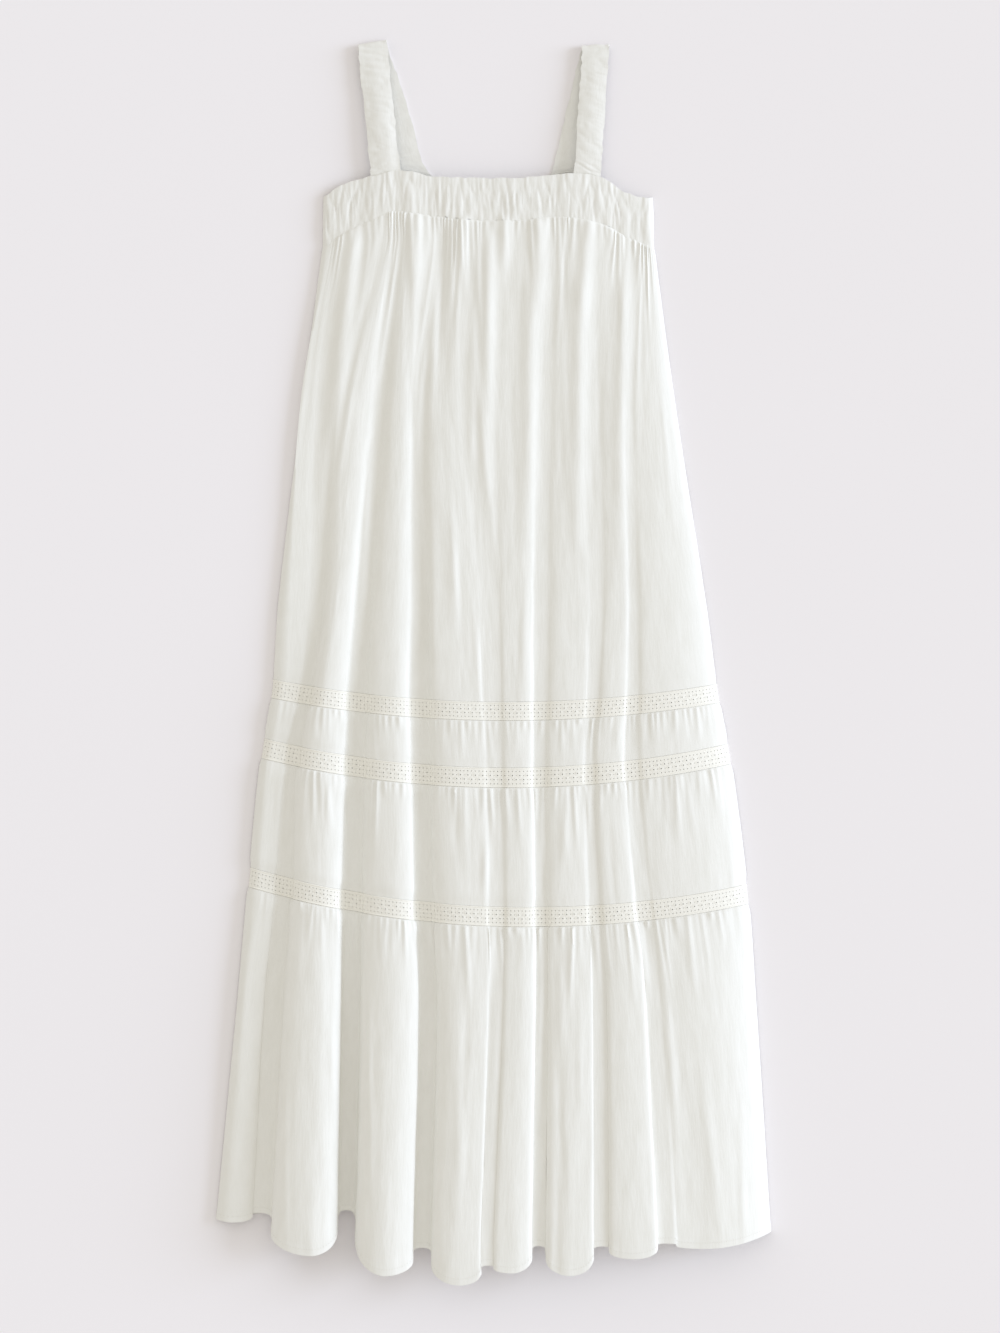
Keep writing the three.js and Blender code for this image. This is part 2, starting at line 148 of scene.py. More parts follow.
# Upper edges of the lace insertions: heights at the left side, the middle and the right side, and the
# depth.
Insertion = namedtuple("Insertion", "left middle right depth")
LACES = {
    "lace1": Insertion(-20, -44, -25, 20),
    "lace2": Insertion(-83, -114, -89, 21.5),
    "lace3": Insertion(-221, -262, -239, 21),
}

# The back's hem, which the front's hides from above.
BACK_HEM = {"across": (-296, -154, 0, 150, 296), "height": (-596, -585, -612, -614, -609)}

# Creases of the back, which rise from the floor under the front's crests. hem and hip: their places
# there, as shares of the half width.
Crease = namedtuple("Crease", "hem hip rise")
BACK_CREASES = (
    Crease(-0.65, -0.67, 3.5),
    Crease(-0.385, -0.46, 4.5),
    Crease(-0.11, -0.23, 4),
    Crease(0.07, 0.2, 3.5),
    Crease(0.31, 0.46, 4.5),
    Crease(0.54, 0.66, 2.8),
)
CREASE_HIP = 279
CREASE_HEM = -613
CREASE_FADE = 60
CREASE_WIDTH = 0.022

# The pieces from the top down: their seams, the grids of the front and of the back, and the cut of each.
Piece = namedtuple("Piece", "name top foot grid back_grid cut back_cut slot")
BAND = Piece("band", "neck", "waist", (320, 26), (200, 16), (0.46, 0.052), (0.44, 0.052), "shirring")
TIERS = (
    Piece("tier1", "waist", "lace1_top", (300, 112), (170, 70), (0.5, 0.53), (0.46, 0.53), "cotton"),
    Piece("tier2", "lace1_foot", "lace2_top", (340, 20), (180, 12), (0.6, 0.052), (0.6, 0.052), "cotton"),
    Piece("tier3", "lace2_foot", "lace3_top", (350, 46), (190, 26), (0.66, 0.13), (0.64, 0.13), "cotton"),
    Piece("tier4", "lace3_foot", "hem", (400, 94), (220, 60), (0.76, 0.39), (0.66, 0.36), "cotton"),
)
LACE_PIECES = (
    Piece("lace1", "lace1_top", "lace1_foot", (500, 7), (300, 4), (0.6, 0.02), (0.5, 0.02), "lace"),
    Piece("lace2", "lace2_top", "lace2_foot", (500, 7), (300, 4), (0.62, 0.0215), (0.52, 0.0215), "lace"),
    Piece("lace3", "lace3_top", "lace3_foot", (500, 7), (300, 4), (0.7, 0.021), (0.54, 0.021), "lace"),
)

# Small gathers under each seam. spacing, reach, rise and width: the least and the most.
Gathers = namedtuple("Gathers", "spacing reach rise width")
GATHERS = {
    "tier1": Gathers((4.5, 8), (22, 120), (0.7, 1.8), (1.4, 2.5)),
    "tier2": Gathers((4.5, 8.5), (20, 80), (0.5, 1.8), (1.5, 2.6)),
    "tier3": Gathers((4.5, 9), (25, 130), (0.5, 1.9), (1.6, 2.8)),
    "tier4": Gathers((5, 9.5), (25, 140), (0.5, 2.0), (1.6, 3.0)),
}
GATHER_LEAN = 0.07
# How far a tier's cloth puffs out over its seams, and how soon.
PUFF = {"tier1": 0.5, "tier2": 1.2, "tier3": 1.6, "tier4": 1.6}
PUFF_REACH = 12

# Long soft creases down each tier: how many, with the least and the most of their length, rise and width.
Creases = namedtuple("Creases", "count length rise width")
CREASES = {
    "tier1": Creases(64, (120, 380), (-0.9, 1.6), (3.0, 5.5)),
    "tier2": Creases(10, (20, 45), (-0.6, 0.8), (2.5, 4.5)),
    "tier3": Creases(26, (60, 130), (-0.9, 1.3), (3.0, 5.5)),
    "tier4": Creases(46, (120, 330), (-1.0, 1.4), (3.5, 7.0)),
}

# The fine streaks of crinkle cotton: their size across and down, and their share of the height.
Streak = namedtuple("Streak", "across down share")
CRINKLES = (Streak(4.2, 26, 0.6), Streak(8.5, 55, 0.8), Streak(18, 30, 0.6))

# Puckers of the ruched pieces: from one to the next, and the length of each.
BAND_PUCKER = (5.2, 30)
STRAP_PUCKER = (6.5, 17)

# The turned hem: how far it stands out, its extra thickness and the step at its upper edge.
HEM_LIFT = 0.3
HEM_EXTRA = 0.6
HEM_STEP = 1.2
# The stitches lie this far below the hem's upper edge, and their ends sink this deep.
STITCH_INSET = 1.6
STITCH_SINK = 0.15

# Height of the back's small creases and crinkles.
BACK_RELIEF = 0.9
BAND_BACK_RELIEF = 1.2
# The back of the band is thinner than the front by this much.
BAND_BACK_THIN = 0.3

# Seeds of the random draws, and from one tier to the next.
FRONT_SEED = 100
BACK_SEED = 200
BAND_BACK_SEED = 260
BAND_SEED = 300
SEED_STEP = 10

# The straps run up from the band's front, fold over at the top and run down to the band's back, further
# in. front and back: the middle of each layer at the strap's stations. lean: how much higher the inner
# edge folds.
STRAP_STATIONS = (518, 545, 578, 610, 643, 660)
Strap = namedtuple("Strap", "name front back width top lean seed")
STRAPS = (
    Strap("left", (-114, -116, -120, -124, -127, -129),
          (-78, -92, -102, -113, -125, -129), 32, 661, 2.7, 71),
    Strap("right", (100, 102, 104, 107, 109, 110),
          (74, 80, 89, 98, 106, 110), 29.5, 658, 0.5, 83),
)
STRAP_FOLD = 3.6
STRAP_CROWN = 1.7
# The front end tucks under the band by this much, and lies this much lower there.
STRAP_TUCK = 1.5
STRAP_SINK = 2.0
STRAP_END_GAP = 0.7
STRAP_GRID = (22, 300)

# The front's side edges lie on the back's.
SIDE_EDGE = 1.3
# Gap between neighbouring pieces at a seam.
SEAM = 0.12
# The band's lower edge laps this far over the first tier.
BAND_LAP = 1.8
# Thickness of its lower edge.
BAND_EDGE = 0.6
# The tiers' relief is lower along their edges: the reach of this, and the share left at the very edge.
SIDE_CALM = 45
SIDE_LEAST = 0.3
SEAM_CALM = 2.5
SEAM_LEAST = 0.6
# The back's underside is this far over the floor.
BACK_LIFT = 0.1

# The lace: its cells' pitch across on the front and the back, the depth of its corded edges and its rows
# of cells.
LACE_PITCH = {"front": 4.0, "back": 5.5}
LACE_CORD = 1.9
LACE_ROWS = 4
# Half sizes of the stitched ring round each eyelet, as shares of its cell, and how high the ring stands.
EYELETS = {"ladder": (0.3, 0.38), "flower": (0.42, 0.42), "dot": (0.26, 0.26)}
EYELET_CORD = 0.3
# The opening, as a share of its ring.
EYELET_OPEN = 0.33

# The cloths' materials. shade: how much darker their streaks are. crinkle: the streaks' size across and
# down, and their height. weave: the threads' pitch and height.
Finish = namedtuple("Finish", "material shade crinkle weave")
FINISHES = {
    "cotton": Finish("crinkle_cotton", 0.035, (2.4, 16, 0.22), (0.5, 0.04)),
    "shirring": Finish("ruched_cotton", 0.05, (2.0, 7, 0.2), (0.5, 0.04)),
    "lace": Finish("cotton_lace", 0.03, (1.2, 1.6, 0.08), (0.4, 0.04)),
    "thread": Finish("sewing_thread", 0.06, (0.3, 0.3, 0.03), (0.2, 0.03)),
}

# Where the photograph was taken from, and how much of the floor its long side takes in.
CAMERA_PLACE = (7.5, -6.4, 6000)
PICTURE_HEIGHT = 1426
SENSOR = 36
# The light from the right: how high it stands over the floor, how far it comes from the straps' end, its
# strength, softness and colour.
SUN_RISE = math.radians(17)
SUN_TURN = 0.12
SUN_STRENGTH = 2.1
SUN_SOFTNESS = math.radians(30)
SUN_COLOUR = (0.83, 0.95, 1.17)
# The even light of the room.
ROOM_COLOUR = (1.0, 0.98, 0.935, 1)
ROOM_STRENGTH = 0.785
# Half the floor's side, in metres.
FLOOR_REACH = 6.0

rng_for = np.random.default_rng


class DressSizes(bpy.types.PropertyGroup):
    """Sizes of the cloth that the folds on the solids don't give."""

    cotton: bpy.props.FloatProperty(
        name="Cotton", description="Thickness of the tiers' cloth", default=0.7 * MM, unit="LENGTH"
    )
    shirring: bpy.props.FloatProperty(
        name="Shirring",
        description="Thickness of the ruched band and straps",
        default=1.5 * MM,
        unit="LENGTH",
    )
    lace: bpy.props.FloatProperty(
        name="Lace", description="Thickness of the lace insertions", default=0.6 * MM, unit="LENGTH"
    )
    pucker: bpy.props.FloatProperty(
        name="Pucker",
        description="Height of the band's and the straps' puckers",
        default=1.5 * MM,
        unit="LENGTH",
    )
    crinkle: bpy.props.FloatProperty(
        name="Crinkle", description="Height of the cotton's fine crinkles", default=0.22 * MM, unit="LENGTH"
    )
    hem: bpy.props.FloatProperty(
        name="Hem", description="Depth of the turned hem", default=8 * MM, unit="LENGTH"
    )
    stitch: bpy.props.FloatProperty(
        name="Stitch", description="Length from stitch to stitch", default=2.6 * MM, unit="LENGTH"
    )


class DressColours(bpy.types.PropertyGroup):
    """Colours of the cloths and of the floor."""

    cotton: bpy.props.FloatVectorProperty(
        name="Cotton", description="Ivory crinkle cotton", default=(0.853, 0.843, 0.8), subtype="COLOR"
    )
    shirring: bpy.props.FloatVectorProperty(
        name="Shirring",
        description="Cotton of the band and straps",
        default=(0.849, 0.838, 0.796),
        subtype="COLOR",
    )
    lace: bpy.props.FloatVectorProperty(
        name="Lace",
        description="Cotton lace, a shade deeper",
        default=(0.905, 0.885, 0.82),
        subtype="COLOR",
    )
    thread: bpy.props.FloatVectorProperty(
        name="Thread", description="Sewing thread", default=(0.8, 0.785, 0.73), subtype="COLOR"
    )
    floor: bpy.props.FloatVectorProperty(
        name="Floor",
        description="Pale floor under the dress",
        default=(0.889, 0.857, 0.87),
        subtype="COLOR",
    )


# Numbers and curves


def mix(a, b, t):
    """From a to b by the share t."""
    return a + (b - a) * t


def ease(t):
    """From 0 to 1 with a soft start and a soft end."""
    return (1 - np.cos(np.pi * np.clip(t, 0, 1))) / 2


def curve(places, values):
    """A smooth curve through values at rising places, held level past both ends."""
    places = np.asarray(places, float)
    values = np.asarray(values, float)
    order = np.arange(len(places))
    before = np.maximum(order - 1, 0)
    after = np.minimum(order + 1, len(places) - 1)
    slopes = (values[after] - values[before]) / (places[after] - places[before])

    def at(x):
        x = np.clip(x, places[0], places[-1])
        i = np.clip(np.searchsorted(places, x) - 1, 0, len(places) - 2)
        span = places[i + 1] - places[i]
        t = (x - places[i]) / span
        t2 = t * t
        t3 = t2 * t
        rise = (t3 - 2 * t2 + t) * slopes[i] + (t3 - t2) * slopes[i + 1]
        return mix(values[i], values[i + 1], 3 * t2 - 2 * t3) + rise * span

    return at


def soft_noise(x, y, seed):
    """Smooth random heights from -1 to 1, with about one hill or hollow for each unit of x and of y."""
    x = x - x.min()
    y = y - y.min()
    hills = rng_for(seed).uniform(-1, 1, (int(y.max()) + 2, int(x.max()) + 2))
    j = x.astype(int)
    i = y.astype(int)
    tx = (x - j) ** 2 * (3 - 2 * (x - j))
    ty = (y - i) ** 2 * (3 - 2 * (y - i))
    upper = mix(hills[i, j], hills[i, j + 1], tx)
    lower = mix(hills[i + 1, j], hills[i + 1, j + 1], tx)
    return mix(upper, lower, ty)


def relief_curve(column):
    """How one column of the relief table changes down the dress."""
    return curve([row.station for row in RELIEF], [getattr(row, column) for row in RELIEF])


trough_height = relief_curve("trough")
crest_height = relief_curve("crest")
fullness_at = relief_curve("fullness")
crest_share_at = relief_curve("crest_share")
line_across = [curve(STATIONS, line.across) for line in LINES]
line_level = [curve(LEVEL_STATIONS, line.level) for line in LINES]
neckline_at = curve([line.across[-1] for line in LINES], [line.neck for line in LINES])
waist_at = curve([line.across[-1] for line in LINES], [line.waist for line in LINES])
back_hem_at = curve(BACK_HEM["across"], BACK_HEM["height"])


# The front's folds


def line_face(i, y):
    """Height of a fold line's face at height y down the dress."""
    if i in (0, LAST):
        return np.full(np.shape(y), float(SIDE_EDGE))
    return mix(trough_height(y), crest_height(y), line_level[i](y))


def flank(t, y):
    """Place from a trough (0) to the next crest (1), for an even step t. Full folds crowd the flank."""
    bias = 0.5 - crest_share_at(y)
    return t + fullness_at(y) * np.sin(2 * np.pi * t) / (2 * np.pi) + bias * np.sin(np.pi * t) ** 2


def fold_lift(x, y):
    """How much the folds over the main ones lift the face at (x, y)."""
    lift = np.zeros(np.shape(x))
    for fold in FOLDS + PLEATS:
        down = (fold.top - y) / (fold.top - fold.foot)
        middle = mix(fold.top_x, fold.foot_x, down)
        ends = ease(down * FOLD_ONSET) * (1 - ease(down * FOLD_FADE - FOLD_FADE_START))
        strength = ends * (down > 0) * (down < 1)
        lift += fold.rise * strength * np.exp(-(((x - middle) / fold.width) ** 2))
    return lift


def choose(values, i):
    """The value that each place i picks from a stack of values."""
    return np.take_along_axis(values, i[None], 0)[0]


def front_point(u, y):
    """Points of the front's face. u counts the fold lines from the left side seam, and y is the height."""
    u, y = np.broadcast_arrays(u, y)
    i = np.minimum(u.astype(int), LAST - 1)
    t = u - i
    across = np.stack([line(y) for line in line_across])
    faces = np.stack([line_face(k, y) for k in range(LAST + 1)])
    x0, x1 = choose(across, i), choose(across, i + 1)
    z0, z1 = choose(faces, i), choose(faces, i + 1)
    share = np.where(i % 2 == 0, flank(t, y), 1 - flank(1 - t, y))
    x = mix(x0, x1, share)
    z = mix(z0, z1, ease(t)) + fold_lift(x, y)
    turn = t * np.pi / 2
    x = np.where(i == 0, mix(x0, x1, 1 - np.cos(turn)), x)
    z = np.where(i == 0, mix(z0, z1, np.sin(turn)), z)
    turn = (1 - t) * np.pi / 2
    x = np.where(i == LAST - 1, mix(x1, x0, 1 - np.cos(turn)), x)
    z = np.where(i == LAST - 1, mix(z1, z0, np.sin(turn)), z)
    return np.stack([x, y, z], -1)


def seam_height(seam, across):
    """Height of a seam where a column crosses it. across gives the column's place at a height."""
    if seam == "neck":
        return neckline_at(across(neckline_at(0.0)))
    if seam == "waist":
        return waist_at(across(waist_at(0.0)))
    if seam == "back_hem":
        return back_hem_at(across(back_hem_at(0.0)))
    name, edge = seam.split("_")
    lace = LACES[name]
    tilt = (lace.right - lace.left) / 2
    bow = (lace.left + lace.right) / 2 - lace.middle
    height = np.full_like(across(float(lace.middle)), lace.middle)
    for _ in range(4):
        place = across(height)
        share = np.where(place < 0, place / -line_across[0](height), place / line_across[LAST](height))
        height = lace.middle + tilt * share + bow * share**2 - (lace.depth if edge == "foot" else 0)
    return height


def front_hem(u):
    """Height of the front's hem, which each fold line carries to its own length."""
    i = np.minimum(u.astype(int), LAST - 1)
    hems = np.array([line.hem for line in LINES], float)
    return mix(hems[i], hems[i + 1], ease(u - i))


def front_seam(seam, u):
    """Height of a seam of the front at the places u."""
    if seam == "hem":
        return front_hem(u)
    return seam_height(seam, lambda y: front_point(u, np.broadcast_to(y, u.shape))[..., 0])


# Cloth as grids of points

# point: the face, in rows from the top down. across and down: each point's place on the flat cloth.
Cloth = namedtuple("Cloth", "point across down")


def row_places(rows, head, foot):
    """Places of the rows from 0 to 1, closer together near the upper and the lower edge."""
    place = np.linspace(0, 1, 400)
    crowd = 1 + head * np.exp(-place / 0.08) + foot * np.exp(-(1 - place) / 0.03)
    run = np.concatenate([[0], np.cumsum((crowd[1:] + crowd[:-1]) / 2)])
    return np.interp(np.linspace(0, run[-1], rows), run, place)


def front_cloth(piece, columns, rows, head=0, tail=0):
    """A front piece's face, its columns evenly spaced along the cloth half way down."""
    fine = np.linspace(0, LAST, 80 * LAST + 1)
    top = front_seam(piece.top, fine) - (0 if piece.top == "neck" else SEAM / 2)
    foot = front_seam(piece.foot, fine) + (0 if piece.foot == "hem" else SEAM / 2)
    middle = front_point(fine, (top + foot) / 2)
    run = np.concatenate([[0], np.cumsum(np.linalg.norm(np.diff(middle, axis=0), axis=1))])
    places = np.linspace(0, run[-1], columns)
    u = np.interp(places, run, fine)
    top = np.interp(places, run, top)
    foot = np.interp(places, run, foot)
    t = row_places(rows, head, tail)[:, None]
    y = mix(top, foot, t)
    across = np.broadcast_to(places, y.shape)
    return Cloth(front_point(np.broadcast_to(u, y.shape), y), across, t * (top - foot))


def back_share(share, y):
    """The place at height y of a column that is this share of the half width from the middle."""
    return np.where(share < 0, -share * line_across[0](y), share * line_across[LAST](y))


def back_cloth(piece, columns, rows):
    """A back piece's underside, which lies on the floor but for its creases."""
    share = np.linspace(-1, 1, columns)
    tail = "back_hem" if piece.foot == "hem" else piece.foot
    top = seam_height(piece.top, lambda y: back_share(share, y)) - (0 if piece.top == "neck" else SEAM / 2)
    foot = seam_height(tail, lambda y: back_share(share, y)) + (0 if tail == "back_hem" else SEAM / 2)
    t = np.linspace(0, 1, rows)[:, None]
    y = mix(top, foot, t)
    x = back_share(np.broadcast_to(share, y.shape), y)
    down = np.clip((CREASE_HIP - y) / (CREASE_HIP - CREASE_HEM), 0, 1)
    z = np.zeros_like(x)
    for crease in BACK_CREASES:
        middle = mix(crease.hip, crease.hem, down)
        z += crease.rise * np.exp(-(((share - middle) / CREASE_WIDTH) ** 2))
    z *= ease((waist_at(x) - y) / CREASE_FADE)
    across = np.broadcast_to((share + 1) * (x[:, -1] - x[:, 0]).mean() / 2, y.shape)
    return Cloth(np.stack([x, y, z + BACK_LIFT], -1), across, t * (top - foot))


def normals_of(point):
    """Which way a face of rows from the top down looks, at each point."""
    normal = np.cross(np.gradient(point, axis=0), np.gradient(point, axis=1))
    return normal / np.maximum(np.linalg.norm(normal, axis=-1, keepdims=True), 1e-9)


def at_cloth(cloth, grid, across, down):
    """Values of a cloth's grid at shares across and down of its size."""
    rows, columns = grid.shape[:2]
    x = np.clip(across, 0, 1) * (columns - 1)
    y = np.interp(down, cloth.down[:, 0] / cloth.down[-1, 0], np.arange(rows))
    j = np.minimum(x.astype(int), columns - 2)
    i = np.minimum(y.astype(int), rows - 2)
    tx = (x - j)[..., None]
    ty = (y - i)[..., None]
    return mix(mix(grid[i, j], grid[i, j + 1], tx), mix(grid[i + 1, j], grid[i + 1, j + 1], tx), ty)


# Gathers, creases, puckers and crinkles


def gathers(cloth, form, seed):
    """Height of the small gathers that fan out below a seam."""
    rng = rng_for(seed)
    lift = np.zeros_like(cloth.across)
    width = cloth.across[0, -1]
    place = rng.uniform(*form.spacing) / 2
    while place < width:
        reach = rng.uniform(*form.reach) * rng.uniform(0.5, 1)
        rise = rng.uniform(*form.rise)
        spread = rng.uniform(*form.width)
        lean = rng.uniform(-GATHER_LEAN, GATHER_LEAN)
        share = cloth.down / reach
        strength = ease(cloth.down / 3 + 0.3) * (1 - ease(share)) * (share < 1)
        off = (cloth.across - place - lean * cloth.down) / (spread * (1 + 0.6 * share))
        lift += rise * strength * np.exp(-(off**2))
        place += rng.uniform(*form.spacing)
    return lift


def creases(cloth, form, seed):
    """Height of long soft creases down a tier."""
    rng = rng_for(seed)
    lift = np.zeros_like(cloth.across)
    width = cloth.across[0, -1]
    length = cloth.down.max()
    for _ in range(form.count):
        place = rng.uniform(0, width)
        size = rng.uniform(*form.length)
        start = rng.uniform(-0.3 * size, length - 0.5 * size)
        rise = rng.uniform(*form.rise)
        spread = rng.uniform(*form.width)
        lean = rng.uniform(-GATHER_LEAN, GATHER_LEAN)
        share = np.clip((cloth.down - start) / size, 0, 1)
        off = (cloth.across - place - lean * cloth.down) / spread
        lift += rise * np.sin(np.pi * share) ** 1.5 * np.exp(-(off**2))
    return lift


def crinkles(cloth, height, seed):
    """Height of the fine streaks that crinkle cotton has all over."""
    lift = 0
    for number, streak in enumerate(CRINKLES):
        noise = soft_noise(cloth.across / streak.across, cloth.down / streak.down, seed + number)
        lift = lift + streak.share * noise
    return height * lift


def puckers(along, across, pitch, length, seed):
    """Rounded puckers, from 0 to 1, of cloth ruched on elastic. They run across it and stand along it."""
    drift = soft_noise(along / (3 * pitch), across / (1.2 * length), seed)
    wide = np.abs(soft_noise(along / pitch + 0.7 * drift, across / length, seed + 1))
    narrow = np.abs(soft_noise(along / (0.55 * pitch) - 0.9 * drift, across / (0.7 * length), seed + 2))
    return np.clip(1.25 * (0.65 * wide**0.8 + 0.35 * narrow**0.8), 0, 1.2)


def seam_dip(cloth):
    """Share of the relief that is left near the upper and lower edge of a piece."""
    length = cloth.down[-1]
    near = np.minimum(cloth.down, length - cloth.down) / SEAM_CALM
    return mix(SEAM_LEAST, 1, ease(near))


def side_calm(cloth):
    """Share of the relief that is left near the side seams, where the cloth is drawn over the edge."""
    near = np.minimum(cloth.across, cloth.across[0, -1] - cloth.across) / SIDE_CALM
    return mix(SIDE_LEAST, 1, ease(near))


def lifted(point, lift):
    """A face moved out along its normals."""
    return point + normals_of(point) * lift[..., None]


# Meshes


def grid_quads(rows, columns):
    """Faces of a grid of points in rows from the top down."""
    index = np.arange(rows * columns).reshape(rows, columns)
    corners = (index[:-1, :-1], index[1:, :-1], index[1:, 1:], index[:-1, 1:])
    return np.stack(corners, -1).reshape(-1, 4)


def open_edges(quads):
    """The edges that only one face has, in that face's direction."""
    edges = np.concatenate([quads[:, [k, (k + 1) % 4]] for k in range(4)])
    size = edges.max() + 1
    there = edges[:, 0] * size + edges[:, 1]
    back = edges[:, 1] * size + edges[:, 0]
    return edges[~np.isin(there, back)]


def link_mesh(name, points, quads, places, material):
    """A smooth mesh object of points in millimetres, with their places on the flat cloth as its UV map."""
    mesh = bpy.data.meshes.new(name)
    mesh.from_pydata((points * MM).tolist(), [], quads.tolist())
    mesh.polygons.foreach_set("use_smooth", np.ones(len(quads), bool))
    mesh.set_sharp_from_angle(angle=math.radians(55))
    cloth = mesh.uv_layers.new(name="cloth")
    cloth.data.foreach_set("uv", (places[quads.ravel()] * MM).astype(np.float32).ravel())
    mesh.materials.append(material)
    piece = bpy.data.objects.new(name, mesh)
    bpy.context.scene.collection.objects.link(piece)
    return piece


def cloth_mesh(name, face, under, quads, places, material):
    """A closed sheet of cloth between a face and its underside, which have like points."""
    count = len(face)
    edges = open_edges(quads)
    rim = np.stack([edges[:, 0], edges[:, 0] + count, edges[:, 1] + count, edges[:, 1]], -1)
    faces = np.concatenate([quads, quads[:, ::-1] + count, rim])
    points = np.concatenate([face, under])
    return link_mesh(name, points, faces, np.concatenate([places, places]), material)


def sheet_mesh(name, cloth, face, under, material):
    """A closed sheet of cloth from two grids of points."""
    places = np.stack([cloth.across, cloth.down], -1).reshape(-1, 2)
    quads = grid_quads(*face.shape[:2])
    return cloth_mesh(name, face.reshape(-1, 3), under.reshape(-1, 3), quads, places, material)


def seat(piece, node):
    """Puts a cloth piece in its solid's place: hangs it on the root body and hides the solid."""
    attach(piece, "root")
    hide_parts(node)


# Materials


def new_material(name):
    """A material with its shader, and a function that adds and links its nodes."""
    material = bpy.data.materials.new(name)
    material.use_nodes = True
    tree = material.node_tree
    shader = tree.nodes["Principled BSDF"]

    def add(kind, settings=None, **inputs):
        node = tree.nodes.new(kind)
        for key, value in (settings or {}).items():
            setattr(node, key, value)
        for key, value in inputs.items():
            socket = node.inputs[key.replace("_", " ")]
            if isinstance(value, bpy.types.NodeSocket):
                tree.links.new(value, socket)
            else:
                socket.default_value = value
        return node

    return material, tree, shader, add


def threads(tree, add, place, pitch):
    """A plain weave's height from the pitch of its threads in millimetres."""
    spread = add("ShaderNodeMapping", Vector=place, Scale=(1 / (pitch * MM), 1 / (pitch * MM), 1))
    warp = add("ShaderNodeTexWave", {"bands_direction": "X"}, Vector=spread.outputs["Vector"], Scale=0.31)
    weft = add("ShaderNodeTexWave", {"bands_direction": "Y"}, Vector=spread.outputs["Vector"], Scale=0.31)
    over = add("ShaderNodeMath", {"operation": "MAXIMUM"})
    tree.links.new(warp.outputs["Color"], over.inputs[0])
    tree.links.new(weft.outputs["Color"], over.inputs[1])
    return over.outputs["Value"]


def streaks(add, place, across, down, detail=2.0):
    """Random streaks, with their size across and down the cloth in millimetres."""
    spread = add("ShaderNodeMapping", Vector=place, Scale=(1 / (across * MM), 1 / (down * MM), 1))
    vector = spread.outputs["Vector"]
    noise = add("ShaderNodeTexNoise", Vector=vector, Scale=1.0, Detail=detail, Roughness=0.55)
    return noise.outputs["Fac"]


def cloth_material(name, colour, shade, crinkle, weave):
    """Matte cotton. shade: its darker tone. crinkle: the streaks' sizes and height. weave: the threads'
    pitch and height. Both are in millimetres."""
    material, tree, shader, add = new_material(name)
    place = add("ShaderNodeUVMap", {"uv_map": "cloth"}).outputs["UV"]
    slub = streaks(add, place, crinkle[0] * 4, crinkle[1] * 2, 3.0)
    tone = add("ShaderNodeValToRGB", Fac=slub)
    tone.color_ramp.elements[0].position = 0.3
    tone.color_ramp.elements[1].position = 0.72
    tone.color_ramp.elements[0].color = (*shade, 1)
    tone.color_ramp.elements[1].color = (*colour, 1)
    tree.links.new(tone.outputs["Color"], shader.inputs["Base Color"])
    fine = streaks(add, place, crinkle[0], crinkle[1])
    folds = add("ShaderNodeBump", Height=fine, Distance=crinkle[2] * MM, Strength=1.0)
    woven = threads(tree, add, place, weave[0])
    crinkled = folds.outputs["Normal"]
    bump = add("ShaderNodeBump", Height=woven, Distance=weave[1] * MM, Strength=0.6, Normal=crinkled)
    tree.links.new(bump.outputs["Normal"], shader.inputs["Normal"])
    shader.inputs["Roughness"].default_value = 0.88
    shader.inputs["IOR"].default_value = 1.45
    shader.inputs["Specular IOR Level"].default_value = 0.25
    shader.inputs["Sheen Weight"].default_value = 0.12
    shader.inputs["Sheen Roughness"].default_value = 0.5
    return material


def shaded(colour, share):
    """A colour taken down by a share, a little more in blue."""
    return (colour[0] * (1 - share), colour[1] * (1 - 1.05 * share), colour[2] * (1 - 1.3 * share))


def finish_of(cloth):
    """The material of one of the dress's cloths, which is made when it is first asked for."""
    finish = FINISHES[cloth]
    colour = getattr(bpy.context.scene.dress_colours, cloth)
    found = bpy.data.materials.get(finish.material)
    shade = shaded(colour, finish.shade)
    return found or cloth_material(finish.material, colour, shade, finish.crinkle, finish.weave)


def floor_material():
    """A plain pale floor with a hint of unevenness."""
    material, tree, shader, add = new_material("pale_floor")
    place = add("ShaderNodeTexCoord").outputs["Object"]
    noise = add("ShaderNodeTexNoise", Vector=place, Scale=3.0, Detail=2.0)
    tone = add("ShaderNodeValToRGB", Fac=noise.outputs["Fac"])
    colour = bpy.context.scene.dress_colours.floor
    tone.color_ramp.elements[0].color = (*shaded(colour, 0.01), 1)
    tone.color_ramp.elements[1].color = (*colour, 1)
    tree.links.new(tone.outputs["Color"], shader.inputs["Base Color"])
    shader.inputs["Roughness"].default_value = 0.9
    shader.inputs["Specular IOR Level"].default_value = 0.1
    return material


# The dress's pieces


def tier_face(piece, cloth, sizes, seed):
    """A front tier's face with its gathers, creases and crinkles."""
    small = gathers(cloth, GATHERS[piece.name], seed)
    long = creases(cloth, CREASES[piece.name], seed + 1)
    fine = crinkles(cloth, sizes.crinkle / MM, seed + 2)
    left = cloth.down[-1] - cloth.down
    near_foot = 1 if piece.foot == "hem" else ease(left / PUFF_REACH)
    puff = PUFF[piece.name] * np.sqrt(ease(cloth.down / PUFF_REACH)) * near_foot
    return lifted(cloth.point, (small + long + fine) * seam_dip(cloth) * side_calm(cloth) + puff)


def hem_turn(cloth, sizes):
    """How much thicker the turned hem makes a tier, from 0 to 1."""
    depth = sizes.hem / MM
    return ease((cloth.down - (cloth.down[-1] - depth)) / HEM_STEP)


